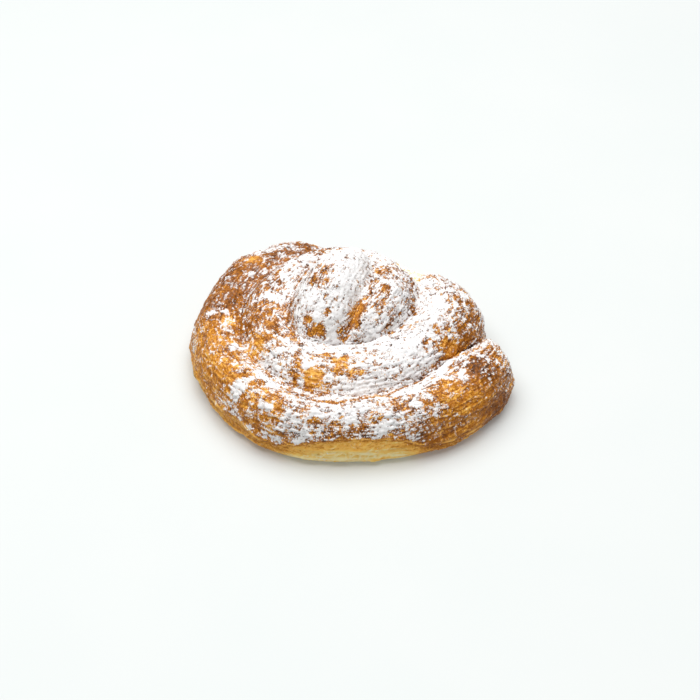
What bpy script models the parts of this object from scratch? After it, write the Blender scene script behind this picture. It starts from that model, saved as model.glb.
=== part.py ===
"""An ensaimada: one rope of laminated dough, coiled inwards from a free tail and baked.

The coil is one swept rope. Its edge is a spiral, given as a radius that falls with the turn, so
the inner edge of each turn is the outer edge of the next one and every crevice is shared. The
rope ends in a raised heart, a lobe folded up in the middle of the coil. Sizes are in millimetres
from the heart's axis, turns in degrees, clockwise as seen from above, starting at +X.
"""

import bmesh
import bpy
import numpy as np
from mathutils import Matrix, Vector, noise

MM = 0.001

# The spiral edge: (turn, distance from the heart's axis).
SPIRAL_EDGE = (
    (8, 48), (13, 55), (19, 59.4), (28, 65.0), (42, 65.6), (56, 65), (70, 63.4), (85, 62.6),
    (118, 64.6), (147, 62.4), (176, 61.1), (187, 59.2), (198, 58.6), (210, 58.6), (226, 55.2), (238, 52),
    (256, 42.5), (270, 41), (313, 38.5), (337, 43.5), (351, 47.2), (365, 49.5), (374, 48.5),
    (384, 44.5), (402, 42.7), (414, 43.1), (428, 44.3), (456, 46.1), (471, 47.3), (484, 46.1),
    (521, 44), (534, 42.3), (556, 40.4), (567, 37.8), (591, 36.2), (610, 36.5), (640, 32.5),
    (687, 29.5), (705, 25.4), (744, 21.8), (774, 21.1), (804, 22.9), (827, 24.7), (850, 26.5),
    (875, 25), (894, 24), (916, 22.1), (941, 23.7), (965, 27), (990, 22), (1016, 16), (1033, 8.5),
    (1060, 3.6), (1110, 2.6), (1135, 3.2), (1156, 5), (1170, 9.5), (1180, 14.5), (1188, 21),
)
# The height at which the rope's outer side is widest or meets the next turn: (turn, height).
SEAM = (
    (8, 8), (30, 9), (300, 9), (330, 12), (368, 13), (383, 14.5), (402, 16.5), (450, 17.5),
    (500, 17.5), (521, 18.5), (556, 19.5), (600, 19.5), (640, 17), (687, 19), (705, 20.5), (744, 22),
    (827, 22), (875, 23), (950, 23), (975, 25), (1016, 28), (1110, 28), (1165, 27), (1188, 24),
)
# The rope's crest: (turn, height above the base).
CREST = (
    (8, 15), (20, 19), (40, 21.5), (180, 21.5), (215, 22.5), (240, 21.5), (256, 18), (275, 16),
    (315, 17.5), (330, 22), (345, 25), (375, 26.5), (393, 25.2), (430, 25.5), (480, 25),
    (540, 25.5), (580, 26), (605, 25), (635, 26.3), (662, 27.8), (692, 30.4), (735, 33.5), (765, 32),
    (800, 29), (825, 26.5),
)
# Creases that cross the rope: (turn, depth, half width in degrees).
CREASES = ((74, 0.7, 5), (152, 0.8, 5), (225, 1.4, 4), (392, 1.6, 5), (452, 0.7, 6), (512, 0.7, 5))
FIRST_TURN, LAST_TURN = 8, 828
EDGE_SMOOTHING = 7.0        # degrees of turn, either way, over which the edge is averaged
EDGE_SAMPLES = 15           # in that average
PATH_SAMPLES = 4000         # along the whole rope, for measuring its length
RING_SPACING = 1.5          # along the rope
RING_POINTS = 40

TUCK = 1.5                  # how far a turn reaches under its neighbour
TUCK_STARTS = 6.0           # how soon below the seam it does
FREE_SIDE, COVERED_SIDE = 0.97, 0.25  # how round the sides are: 1 is an ellipse, 0 is upright
DOME_POWER = 1.5            # how a covered side slopes: 1 is an ellipse, 2 a parabola
UNDERCUT = 4.0              # how far the section carries on below the base, which draws the foot in
FOOT_ROUNDNESS = 0.8
OUTER_SIDE_ENDS, INNER_SIDE_STARTS = 350, 375   # turns between which the free side goes under cover
TAIL_ROUNDING, TIP_ROUNDING = 12.0, 16.0        # lengths of the rounded ends
TAIL_MIDDLE, TIP_MIDDLE = 8.0, 14.0             # heights that the rounded ends close at
TAIL_PIVOT, TIP_PIVOT = -0.75, 0.3  # and how far out they close, in half widths from the middle
END_FULLNESS = 0.03         # what is left of the section in the very first and last ring

HEART_CENTRE = (-7.3, 2.2, 22.0)
HEART_HALF_AXES = (15.0, 27.0, 18.0)
HEART_TURN = 21.0           # degrees clockwise from the Y axis
CORE_RADIUS, CORE_TOP_RADIUS, CORE_TOP = 40.0, 14.0, 18.0

HEART_SEGMENTS, HEART_RINGS, CORE_SEGMENTS = 40, 24, 48

LUMP_DEPTH, LUMP_SIZE, LUMP_SEED = 0.7, 14.0, 3
LUMPS_FADE_BELOW = 6.0      # the dough lies flatter on the tray
VOXEL = 1.0
SMOOTH_STEPS = 3
TRIANGLE_SHARE = 0.155      # of the remeshed surface, which leaves under ten thousand triangles

CRUST_COLOUR = (0.42, 0.19, 0.05, 1.0)


def clear_scene():
    for thing in list(bpy.data.objects):
        bpy.data.objects.remove(thing)


def new_collection(name):
    collection = bpy.data.collections.new(name)
    bpy.context.scene.collection.children.link(collection)
    return collection


def crust_material():
    material = bpy.data.materials.new("baked crust")
    material.use_nodes = True
    shader = material.node_tree.nodes["Principled BSDF"]
    shader.inputs["Base Color"].default_value = CRUST_COLOUR
    shader.inputs["Roughness"].default_value = 0.45
    shader.inputs["Metallic"].default_value = 0.0
    return material


def curve_through(rows, at):
    """A smooth curve through the rows that doesn't swing past them, read at these places."""
    x, y = np.array(rows, float).T
    step = np.diff(x)
    rise = np.diff(y) / step
    near = 2 * step[1:] + step[:-1]
    far = step[1:] + 2 * step[:-1]
    same_way = rise[:-1] * rise[1:] > 0
    safe = np.where(same_way, rise[:-1], 1.0), np.where(same_way, rise[1:], 1.0)
    slope = np.zeros_like(y)
    slope[1:-1] = np.where(same_way, (near + far) / (near / safe[0] + far / safe[1]), 0.0)
    slope[0], slope[-1] = rise[0], rise[-1]
    at = np.clip(at, x[0], x[-1])
    i = np.clip(np.searchsorted(x, at) - 1, 0, len(step) - 1)
    t = (at - x[i]) / step[i]
    return (
        (2 * t**3 - 3 * t**2 + 1) * y[i]
        + (t**3 - 2 * t**2 + t) * step[i] * slope[i]
        + (3 * t**2 - 2 * t**3) * y[i + 1]
        + (t**3 - t**2) * step[i] * slope[i + 1]
    )


def edge_radius(turn):
    """The spiral edge's radius, averaged over a few degrees so that it has no kinks."""
    offsets = np.linspace(-EDGE_SMOOTHING, EDGE_SMOOTHING, EDGE_SAMPLES)
    weights = np.cos(offsets / EDGE_SMOOTHING * np.pi / 2) ** 2
    values = [curve_through(SPIRAL_EDGE, turn + offset) for offset in offsets]
    return np.average(values, axis=0, weights=weights)


def crest_height(turn):
    height = curve_through(CREST, turn)
    for place, depth, half_width in CREASES:
        height = height - depth * np.exp(-(((turn - place) / half_width) ** 2))
    return height


def around(turn):
    """Unit vectors from the heart's axis towards these turns."""
    angle = np.radians(turn)
    return np.stack([np.cos(angle), -np.sin(angle)], axis=1)


def even_turns():
    """Turns that lie evenly spaced along the rope's middle, and their distances along it."""
    turn = np.linspace(FIRST_TURN, LAST_TURN, PATH_SAMPLES)
    middle = (edge_radius(turn) + edge_radius(turn + 360)) / 2
    steps = np.linalg.norm(np.diff(around(turn) * middle[:, None], axis=0), axis=1)
    travelled = np.concatenate([[0.0], np.cumsum(steps)])
    along = np.linspace(0.0, travelled[-1], int(travelled[-1] / RING_SPACING))
    return np.interp(along, travelled, turn), along


def outward(centres):
    """Unit vectors square to the path, to its left, which is away from the heart's axis."""
    ahead = np.gradient(centres, axis=0)
    for _ in range(3):
        ahead[1:-1] = (ahead[:-2] + ahead[1:-1] + ahead[2:]) / 3
    ahead /= np.linalg.norm(ahead, axis=1)[:, None]
    return np.stack([-ahead[:, 1], ahead[:, 0]], axis=1)


def rounding(distance, length):
    """From 0 at a rounded end to 1 at this length from it, along a quarter circle."""
    short = np.clip(1 - distance / length, 0, 1)
    return np.sqrt(1 - short**2)


def section(half_width, crest, seams, free):
    """The rope's cross section, as distances outwards and heights.

    seams are the heights of its outer and inner seam, and free is 1 where its outer side is bare.
    """
    angle = np.linspace(0, 2 * np.pi, RING_POINTS, endpoint=False)
    cosine, sine = np.cos(angle), np.sin(angle)
    bare = np.where(cosine > 0, free, 0.0)
    seam = np.where(cosine > 0, *seams)
    upright = np.where(sine >= 0, FREE_SIDE, COVERED_SIDE + (FREE_SIDE - COVERED_SIDE) * bare)
    tucked = TUCK * (1 - bare) * np.clip(-TUCK_STARTS * sine, 0, 1)
    across = (half_width + tucked) * np.sign(cosine) * np.abs(cosine) ** upright
    above = seam + (crest - seam) * np.abs(sine) ** (DOME_POWER + (1 - DOME_POWER) * bare)
    below = seam - (seam + UNDERCUT) * np.abs(sine) ** FOOT_ROUNDNESS
    return across, np.where(sine >= 0, above, below)


def rope_rings():
    """The rope's cross sections as rings of points, from the tail to the tip beside the heart."""
    turn, along = even_turns()
    outer_edge, inner_edge = edge_radius(turn), edge_radius(turn + 360)
    centres = around(turn) * ((outer_edge + inner_edge) / 2)[:, None]
    out = outward(centres)
    slant = np.clip((around(turn) * out).sum(axis=1), 0.5, 1.0)
    half_width = (outer_edge - inner_edge) / 2 * slant
    crest = crest_height(turn)
    seams = np.column_stack([curve_through(SEAM, turn), curve_through(SEAM, turn + 360)])
    free = np.clip((INNER_SIDE_STARTS - turn) / (INNER_SIDE_STARTS - OUTER_SIDE_ENDS), 0, 1)
    fullness = rounding(along, TAIL_ROUNDING) * rounding(along[-1] - along, TIP_ROUNDING)
    fullness = np.maximum(fullness, END_FULLNESS)
    halfway = (FIRST_TURN + LAST_TURN) / 2
    rings = []
    for i in range(len(turn)):
        across, height = section(half_width[i], crest[i], seams[i], free[i])
        is_tail = turn[i] < halfway
        pivot = half_width[i] * (TAIL_PIVOT if is_tail else TIP_PIVOT)
        closes_at = TAIL_MIDDLE if is_tail else TIP_MIDDLE
        across = pivot + (across - pivot) * fullness[i]
        height = closes_at + (height - closes_at) * fullness[i]
        plan = centres[i] + out[i] * across[:, None]
        rings.append(np.column_stack([plan, height]))
    return rings


def lumpy(point):
    """The point moved by the dough's slow unevenness, which fades out at the base."""
    place = Vector(point) / LUMP_SIZE
    fade = min(max(point[2] / LUMPS_FADE_BELOW, 0.0), 1.0)
    return Vector(point) + noise.noise_vector(place) * LUMP_DEPTH * fade


def add_rope(bm):
    """Lofts the rope's rings into one closed tube."""
    noise.seed_set(LUMP_SEED)
    rings = [[bm.verts.new(lumpy(point) * MM) for point in ring] for ring in rope_rings()]
    for ring, following in zip(rings, rings[1:]):
        for i in range(RING_POINTS):
            j = (i + 1) % RING_POINTS
            bm.faces.new((ring[i], following[i], following[j], ring[j]))
    bm.faces.new(rings[0])
    bm.faces.new(reversed(rings[-1]))


def add_heart(bm):
    """The raised lobe: a ball drawn out, with sides that slope like the rope's."""
    place = Matrix.Translation(Vector(HEART_CENTRE) * MM)
    turned = Matrix.Rotation(-np.radians(HEART_TURN), 4, "Z")
    stretched = Matrix.Diagonal((*(Vector(HEART_HALF_AXES) * MM), 1.0))
    ball = bmesh.ops.create_uvsphere(
        bm, u_segments=HEART_SEGMENTS, v_segments=HEART_RINGS, radius=1.0
    )
    for vertex in ball["verts"]:
        if vertex.co.z > 0:
            vertex.co.z **= DOME_POWER
    bmesh.ops.transform(bm, matrix=place @ turned @ stretched, verts=ball["verts"])


def add_core(bm):
    """The dough under the coil, where the turns have baked together."""
    height = CORE_TOP + UNDERCUT / 2
    middle = Matrix.Translation((0.0, 0.0, (CORE_TOP - height / 2) * MM))
    bmesh.ops.create_cone(
        bm, cap_ends=True, segments=CORE_SEGMENTS, radius1=CORE_RADIUS * MM,
        radius2=CORE_TOP_RADIUS * MM, depth=height * MM, matrix=middle,
    )


def baked_together(name, mesh):
    """An object whose overlapping pieces have become one skin, with few triangles."""
    pastry = bpy.data.objects.new(name, mesh)
    bpy.context.scene.collection.objects.link(pastry)
    remesh = pastry.modifiers.new("baked together", "REMESH")
    remesh.mode = "VOXEL"
    remesh.voxel_size = VOXEL * MM
    smooth = pastry.modifiers.new("soft creases", "SMOOTH")
    smooth.iterations = SMOOTH_STEPS
    fewer = pastry.modifiers.new("fewer triangles", "DECIMATE")
    fewer.ratio = TRIANGLE_SHARE
    fewer.use_collapse_triangulate = True
    whole = bpy.data.meshes.new_from_object(
        pastry.evaluated_get(bpy.context.evaluated_depsgraph_get())
    )
    bpy.data.objects.remove(pastry)
    return whole


def stand_flat(mesh):
    """Cuts the base level at z = 0 and brings the middle of the bounding box over the origin."""
    bm = bmesh.new()
    bm.from_mesh(mesh)
    cut = bmesh.ops.bisect_plane(
        bm, geom=bm.verts[:] + bm.edges[:] + bm.faces[:],
        plane_co=(0.0, 0.0, 0.0), plane_no=(0.0, 0.0, -1.0), clear_outer=True,
    )
    rim = [edge for edge in cut["geom_cut"] if isinstance(edge, bmesh.types.BMEdge)]
    bmesh.ops.contextual_create(bm, geom=rim)
    bmesh.ops.triangulate(bm, faces=bm.faces)
    bmesh.ops.recalc_face_normals(bm, faces=bm.faces)
    places = np.array([vertex.co for vertex in bm.verts])
    middle = (places.min(axis=0) + places.max(axis=0)) / 2
    bmesh.ops.translate(bm, verts=bm.verts, vec=(-middle[0], -middle[1], 0.0))
    bm.to_mesh(mesh)
    bm.free()


def make_ensaimada(collection):
    bm = bmesh.new()
    add_rope(bm)
    add_heart(bm)
    add_core(bm)
    bmesh.ops.recalc_face_normals(bm, faces=bm.faces)
    pieces = bpy.data.meshes.new("rope, heart and core")
    bm.to_mesh(pieces)
    bm.free()
    mesh = baked_together("raw dough", pieces)
    stand_flat(mesh)
    mesh.name = "ensaimada"
    mesh.materials.clear()
    mesh.materials.append(crust_material())
    mesh.shade_smooth()
    ensaimada = bpy.data.objects.new("ensaimada", mesh)
    collection.objects.link(ensaimada)


clear_scene()
make_ensaimada(new_collection("Ensaimada"))
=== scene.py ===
"""An ensaimada on a pale table: one coiled rope of flaky, browned dough under sifted icing sugar.

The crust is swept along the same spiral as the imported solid, baked together by a remesh and then
roughened: lumps, wrinkles that run along the rope, flake edges, deep crevices. The sugar is mesh
too: drifts that lie on the crust, and crumbs and flecks on and around them. Only the thinnest of
it is a film in the crust's material. Lengths are millimetres in the pastry's own frame.
"""

import itertools

import bmesh
import bpy
import numpy as np
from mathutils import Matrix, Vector
from mathutils.kdtree import KDTree


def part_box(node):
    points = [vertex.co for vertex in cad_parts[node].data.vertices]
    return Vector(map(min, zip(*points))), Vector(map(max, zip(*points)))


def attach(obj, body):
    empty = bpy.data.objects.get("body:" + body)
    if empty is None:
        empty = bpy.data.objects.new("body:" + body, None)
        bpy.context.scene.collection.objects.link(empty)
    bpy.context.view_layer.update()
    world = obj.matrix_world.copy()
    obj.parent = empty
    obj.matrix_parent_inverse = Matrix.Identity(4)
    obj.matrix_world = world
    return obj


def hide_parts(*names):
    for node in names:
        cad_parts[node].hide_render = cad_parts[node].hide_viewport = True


MM = 0.001

# ---- the coil, as in the solid ----

# The spiral edge: (turn, distance from the heart's axis).
SPIRAL_EDGE = (
    (8, 48), (13, 55), (19, 59.4), (28, 65.0), (42, 65.6), (56, 65), (70, 63.4), (85, 62.6),
    (118, 64.6), (147, 62.4), (176, 61.1), (187, 59.2), (198, 58.6), (210, 58.6), (226, 55.2),
    (238, 52), (256, 42.5), (270, 41), (313, 38.5), (337, 43.5), (351, 47.2), (365, 49.5), (374, 48.5),
    (384, 44.5), (402, 42.7), (414, 43.1), (428, 44.3), (456, 46.1), (471, 47.3), (484, 46.1),
    (521, 44), (534, 42.3), (556, 40.4), (567, 37.8), (591, 36.2), (610, 36.5), (640, 32.5),
    (687, 29.5), (705, 25.4), (744, 21.8), (774, 21.1), (804, 22.9), (827, 24.7), (850, 26.5),
    (875, 25), (894, 24), (916, 22.1), (941, 23.7), (965, 27), (990, 22), (1016, 16), (1033, 8.5),
    (1060, 3.6), (1110, 2.6), (1135, 3.2), (1156, 5), (1170, 9.5), (1180, 14.5), (1188, 21),
)
# The height at which the rope's outer side is widest or meets the next turn: (turn, height).
SEAM = (
    (8, 8), (30, 9), (300, 9), (330, 12), (368, 13), (383, 14.5), (402, 16.5), (450, 17.5),
    (500, 17.5), (521, 18.5), (556, 19.5), (600, 19.5), (640, 17), (687, 19), (705, 20.5), (744, 22),
    (827, 22), (875, 23), (950, 23), (975, 25), (1016, 28), (1110, 28), (1165, 27), (1188, 24),
)
# The rope's crest: (turn, height above the base).
CREST = (
    (8, 15), (20, 19), (40, 21.5), (180, 21.5), (215, 22.5), (240, 21.5), (256, 18), (275, 16),
    (315, 17.5), (330, 22), (345, 25), (375, 26.5), (393, 25.2), (430, 25.5), (480, 25),
    (540, 25.5), (580, 26), (605, 25), (635, 26.3), (662, 27.8), (692, 30.4), (735, 33.5), (765, 32),
    (800, 29), (825, 26.5),
)
# Creases that cross the rope: (turn, depth, half width in degrees).
CREASES = (
    (74, 0.9, 3), (152, 1.0, 3), (225, 1.6, 2.5), (392, 1.9, 3), (452, 0.9, 3), (512, 0.9, 3),
)
FIRST_TURN, LAST_TURN = 8, 828
EDGE_SMOOTHING, EDGE_SAMPLES, PATH_SAMPLES = 6.0, 15, 4000
RING_SPACING, RING_POINTS = 0.8, 84
TUCK, TUCK_STARTS, DOME_POWER = 1.5, 6.0, 1.5
FREE_SIDE, COVERED_SIDE = 0.97, 0.25
UNDERCUT, FOOT_ROUNDNESS = 4.0, 0.8
OUTER_SIDE_ENDS, INNER_SIDE_STARTS = 350, 375
TAIL_ROUNDING, TIP_ROUNDING = 12.0, 16.0
TAIL_MIDDLE, TIP_MIDDLE = 8.0, 14.0
TAIL_PIVOT, TIP_PIVOT = -0.75, 0.3
END_FULLNESS = 0.03
HEART_CENTRE, HEART_HALF_AXES, HEART_TURN = (-7.3, 2.2, 22.0), (15.0, 27.0, 18.0), 21.0
CORE_RADIUS, CORE_TOP_RADIUS, CORE_TOP = 40.0, 14.0, 18.0
ROUND_SIDES, HEART_RINGS = 64, 40
VOXEL, SMOOTH_STEPS, BLUR_PULL = 0.53, 3, 0.6
FOOT_RADIUS, FOOT_UNEVENNESS = 1.3, 0.35
CREVICE_STEPS, DETAIL_STEPS = 12, 4
# The heart's skin starts this far off the rope's. Its grain is counted on past the rope's end.
ROPE_SKIN, HEART_REACH = 0.9, 18
HEART_GRAIN, HEART_LEAD, HEART_ROUGHNESS = 800, 100, 0.35
NOISE_WRAP, NOISE_GAIN, RIDGE_SHARPNESS = 255, 1.6, 2.2
PATCH_EDGE = 0.7        # how early the soft patches fade, inside their reach
RAW_DOUGH = 0.06        # browning of the dough under the ledge
RAW_BELOW, RAW_RELIEF = 0.22, 0.4   # dough browned less than this is smoother by this much
NO_SUGAR = -0.3
FILM_SHARE = 0.15       # of the skin carries a film of sugar too thin to be a drift
THIN_DRIFT, DRIFT_RISE, THICKEST_DRIFT = 0.05, 0.24, 0.45
FILM_DEPTH, DRIFT_ROOT = -0.2, 0.30
# Loose sugar: (piece, how many, sizes, flatness, how far it stands off, strays, seed).
LOOSE_SUGAR = (
    ("sugar_crumbs", 6500, (0.25, 0.55), 0.6, 0.15, 0, 51),
    ("sugar_flecks", 7000, (0.18, 0.36), 0.5, 0.1, 0.02, 52),
)
SUGAR_EDGE, SCATTERED, MELTED_CALM = 0.15, 0.3, 0.5

# ---- where the oven and the sugar went: soft patches ----

# How thickly the sugar lies, seen from above, each patch laid over the ones before it:
# (x, y, reach along x, reach along y, cover in per cent, and its turn in degrees if it has one).
# 100 hides the crust. More than that, or less than none, wins over the uneven sifting.
DUSTING = (
    # the rings and lobes as a whole
    (-50, 5, 13, 42, 16), (-18, 42, 26, 8, 36), (-40, -40, 13, 11, 34, -45), (-2, -46, 27, 6, 86),
    (4, -54, 30, 3, 30), (23, -49, 11, 6, 55, 15), (45, -34, 15, 18, -2), (-33, 4, 9, 26, 36),
    (-12, -26, 22, 9, 52), (18, -20, 12, 14, 95), (30, 6, 8, 16, 92), (45, 3, 5, 14, 42),
    (-5, 8, 13, 24, 105, -21), (13, 6, 7, 17, 66, -8), (-8, -18, 14, 3, 97), (3, 34, 13, 7, 90),
    (23, 37, 7, 5, 70, -35),
    # the heart and the groove beside it
    (-10.5, 5, 4.5, 4.5, 70), (-11.3, 6.2, 3.2, 4.6, 5), (-8, 10, 2.6, 2.6, 25), (-12, 14, 2.6, 2.4, 35),
    (-8, -2.5, 1.5, 2.5, 60), (-15.3, -8, 1.8, 1.6, -10), (-12.3, -11.2, 3.6, 2.4, -10),
    (-8.3, -7.3, 1.2, 1, 10), (-6, -9.5, 3, 3, 110), (-3.5, -13, 2.6, 2, 130),
    (2.6, -3.4, 2.2, 6.4, -10, -29), (-2.3, -1.5, 1.6, 3.5, 110, -20), (-2.5, -10, 3, 2, 25, 20),
    (2.5, -7.5, 1.4, 1.6, -10), (-21.3, -7, 1, 5, 5), (-28, -2, 2, 3.5, 85), (-24, 4, 2, 5, 40),
    (-23.5, -4, 1.4, 2.6, 20), (-26, 8.5, 2.4, 2, 120), (-31.5, 10.5, 2.4, 1.8, 90),
    (-30.5, 2, 2.2, 2.6, 0), (-28.5, -5.5, 2.2, 3, 0), (-17.8, -15, 3, 1, 10, -40),
    # the lobe beside the groove, and the crevice round it
    (13, 20, 2.6, 5, 20), (9.5, 12, 2, 3, 20), (12.7, 5.3, 2.6, 2.2, -10), (7.5, 7.5, 1.6, 1.8, 20),
    (12.7, 9.8, 1.4, 1.2, 90), (17, 7.5, 2, 5, 92), (7.5, -5.5, 2, 4, 90, -20), (7.5, 1, 2.4, 4, 22, -20),
    (11.5, -2, 2, 3, 0), (7, 2.5, 1.8, 2.2, 20), (4.8, 7.5, 2.4, 2.4, 120), (16.5, -3.5, 3, 1.3, 130, 45),
    (8.5, -9.5, 3, 1.8, 120), (-11.5, -8.2, 1.5, 1.4, 130), (-8.3, -6.6, 1.2, 1, 0),
    (5.5, -6, 1.5, 2.4, 90, -20), (15, -8, 1.6, 1.4, 30), (10.5, 5, 1.6, 2, 90), (14, 13.5, 3, 2, 30),
    (23.5, 7, 1.3, 6, 5, 5), (22.8, 0, 1.6, 2.4, 130), (15.5, -3, 6, 2.2, 85, 48),
    (15.5, -5, 6.5, 0.6, 35, 48), (-12, -14.8, 7, 1.7, 95, -5), (1, -14, 9, 2, 95, 8),
    (-4.5, -13.4, 3, 1.6, 95), (4, -12.5, 5, 0.6, 45, 12),
    # the right lobe
    (32, 16, 4.5, 3.5, 72), (39, 7, 3, 6, 50), (42.3, 4, 0.9, 6, 5, 23), (46.5, 3, 3, 9, 12, 15),
    (42.5, -5.5, 3.2, 5, 5), (37, -12, 3.8, 3.2, -10), (36, -20.5, 6, 2.2, 120, 40),
    (41, -18.5, 2.4, 2.4, 110), (36.5, -29, 2.4, 2.4, 90, 30), (35, -18.5, 2.4, 2, 140, 30),
    (38, -22.5, 2, 2, 20), (39, -16, 1.6, 1.2, 0, 30), (28.5, -17.5, 1.6, 2, 10), (32, -7.5, 1.2, 1.8, 15),
    (35.5, -4.5, 2, 0.9, 25), (36, -7.5, 2, 1.4, 10), (35, -4, 2.6, 1.6, 100), (42, -6, 2, 2, -10),
    (29.5, -15, 2.8, 2.4, -30), (28, -11, 1.4, 1.6, 130), (40.5, 7.5, 1.6, 1.6, 20),
    (42.5, 12.5, 2.2, 2.6, 110), (43.6, 5, 1.6, 2.4, 80), (29, 22, 4.5, 2.4, 100), (27, -13, 1.5, 1.5, 40),
    (29, -16.5, 1.5, 4, 50), (30.8, -18.5, 1.2, 2, 90), (27, -25, 1.3, 4, 35),
    # the second turn: its right, front and left
    (17, -27.5, 3, 2.5, 62, -40), (21, -26, 0.8, 0.8, 40), (19, -31, 3, 1.2, 45, -15),
    (8, -22, 2.5, 1.2, 62), (9.5, -27.5, 1.3, 2, 50, 30), (-13, -31.5, 5, 3, -10, 8),
    (-9.5, -35.5, 2.6, 1.5, 25), (-4.5, -36.5, 3.2, 2.2, 92), (-6, -31, 2.2, 3.4, 20),
    (4, -28.5, 4.4, 1.6, 130), (-2.5, -33.5, 1.6, 2, 120), (-5, -23.5, 1.6, 1.2, 90),
    (-4.8, -29.3, 2.2, 2.4, -10), (-10, -28, 1.6, 1.4, 80), (-7.7, -32, 1.8, 1.5, 90),
    (-8.5, -21.8, 1.8, 0.9, 10), (-2, -25.5, 1.5, 3.6, -10), (-7, -27, 2.2, 2.5, 40), (2, -30.5, 3, 2, 20),
    (5, -34.5, 8, 2.4, 95, 5), (17.5, -28.5, 2, 1.6, 90), (14, -29, 1.6, 2.4, 40),
    (27.5, -21.5, 1.8, 2, 100), (-22, -18, 2.2, 2.6, 95), (-26, -24, 2, 2, 30), (-23, -31.5, 2.6, 1.6, 20),
    (-17, -38.7, 3.6, 1.4, 30), (-18, -30.5, 1.6, 2.4, 30), (-20.5, -19.5, 2.2, 2, 120),
    (-22.5, -25.5, 2.2, 2, 80), (-14, -26.5, 3.2, 1.8, 98, 15), (-24.5, -26.5, 2.6, 3.5, 72),
    (-30, -20.5, 2.6, 2.4, 90), (-28, -24.5, 1.6, 3, 85), (-25.5, -30.5, 2.4, 1.4, 35),
    (-29.5, -28, 1.1, 3, 10, 10), (-19, -25, 1.6, 5, 20), (-18, -34, 1.5, 2.5, 75),
    (-31, -29, 11, 2, 90, -49), (14.5, -30, 2.2, 5, 55), (7, -38.3, 5, 1.4, 20, 5),
    (10.5, -33, 1.6, 2.4, 90), (19, -37.5, 8, 2.8, 93, 15), (13, -45, 5, 1.6, 15, -15),
    (16.5, -43, 2.6, 3.6, 10), (12, -48, 1.8, 1.2, 100), (23, -38, 3, 1.2, 90, 20),
    (-35.5, -13, 2.2, 1.8, 5), (-35.5, -18, 2.2, 2, 10), (-27.5, -13, 3.5, 2.5, 55),
    (-22, -18.5, 1.2, 0.8, 30), (-34.5, 7, 1.6, 1.3, 5), (-35.5, -1, 3.4, 4.6, 0),
    (-30.5, -12.5, 2.4, 2, -20), (-35, -16, 2, 2, 0), (-43, -19.5, 3, 1.8, -10),
    (-26.5, -19.5, 3.4, 1.4, 100), (-34.5, 29, 2.2, 2.2, 95), (-26, 22, 2, 2.6, 100), (-17, 38, 4, 3, 10),
    (-27, 31, 3, 2.4, 20), (-39, 29.5, 2, 2, 20), (-30, 44, 6, 2, 70), (-28, 11, 4, 2.6, 92, 10),
    (-23, 21, 3.5, 7, 88, -15), (-30, 18.5, 3.5, 5, 50),
    # the outer turn: its back and left
    (-49, 20, 4, 12, 24, 10), (-40, 3, 2.5, 3.5, 8), (-47, -25, 4, 3, -10), (-42, -29, 5, 1.8, -10, -5),
    (-35, 24, 3, 4, 0), (-28, 16, 3, 3, 30), (-23, 30, 3, 2, 40), (-40, 33, 6, 5, 10), (-55, 11, 4, 6, -10),
    (-48, 26, 5, 14, 18, 20), (-58, -6, 2.5, 5, 35), (-38, 27.5, 1.4, 1.6, 92), (-37.5, 35, 3, 3.2, -10),
    (-43, 31, 3, 4, 0), (-42.5, -31.5, 3, 2, 0), (-17, 32, 3.2, 4, 88), (-53, 5, 2, 1.6, 90),
    (-47.5, 6.5, 1.5, 1.1, 95), (-45.7, 0.5, 1.6, 2.6, 65), (-54, -10, 6, 10, 0), (-41, -5, 1.6, 2.6, 0),
    (-42.5, -13, 2.6, 2, 100), (-51, -14, 3, 2.4, 10), (-39.5, -29.6, 3.2, 1.2, -20),
    (-46, -3.5, 3, 1.4, 50), (-49, 0, 2, 1.6, 10), (-40.5, -32.8, 2.6, 2.4, 100), (-46.5, -36.5, 2.2, 2, 0),
    (-38, -33.5, 3.6, 1.6, 120, 50), (-46, -37, 2.5, 3, 35),
    # the outer turn: its front
    (-33, -43.5, 5, 2.2, 12, -25), (-37.5, -38.5, 2.4, 2.6, -10, -20), (-30, -40.8, 2.8, 2, 10),
    (-34, -33.5, 2, 1.8, 10), (-26, -45, 3.4, 2.8, 0), (10, -47, 2.5, 2, 35), (20, -45, 3, 1.6, 35),
    (-14, -50.5, 2.6, 1.6, 40), (28, -47.5, 5.5, 3.2, 8, -10), (34, -44.5, 3, 1.6, 15, -20),
    (-31.5, -42, 1.1, 2, 92), (-28.5, -43.5, 1.6, 1.2, 92), (-27.5, -48, 1.6, 1.4, 5),
    (-19, -53.5, 6, 2.2, 160, 10), (-28.5, -51, 3.4, 3, 180), (-16, -47, 2.4, 3, 40),
    (-28, -47.5, 4, 1.6, 30, -20), (-13, -51, 3, 2.6, 66), (-12, -48.5, 2, 1.6, 110),
    (-3, -46.5, 7.5, 3.2, 88), (-2, -50.5, 4, 1.6, 85), (-4.5, -51.8, 2.4, 1.8, 10),
    (-13, -50.5, 2.4, 1.6, 10), (-4, -53, 2, 1.2, 20), (13, -55, 5.5, 1.6, -10), (3, -52.5, 4, 1.6, 35),
    (8.5, -49.5, 1.4, 1, 30), (8.5, -52.2, 2.4, 1.2, 72), (15, -53.5, 3, 1.4, 0), (13, -48, 4, 2.2, 60),
    (13.5, -51.3, 3.4, 1.2, 110), (10.5, -49, 1.4, 1.2, 0), (18, -49.8, 2, 1.2, 90), (17.5, -53, 4, 1.6, 0),
    (16, -48.5, 3, 1.6, 95), (27, -43, 2, 1.6, 80), (24, -53.5, 3.4, 2.2, 150), (6.5, -46, 2, 1.4, 95),
    (25, -41.8, 3.6, 0.8, 10, -25), (22.7, -43.5, 2, 0.8, 80, -20), (27.5, -46, 4, 1.8, -15, 20),
    (28.5, -43, 1.6, 1.6, 10), (28, -40.3, 2, 1.4, 100), (31, -43, 3.2, 0.9, 70, -35),
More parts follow.
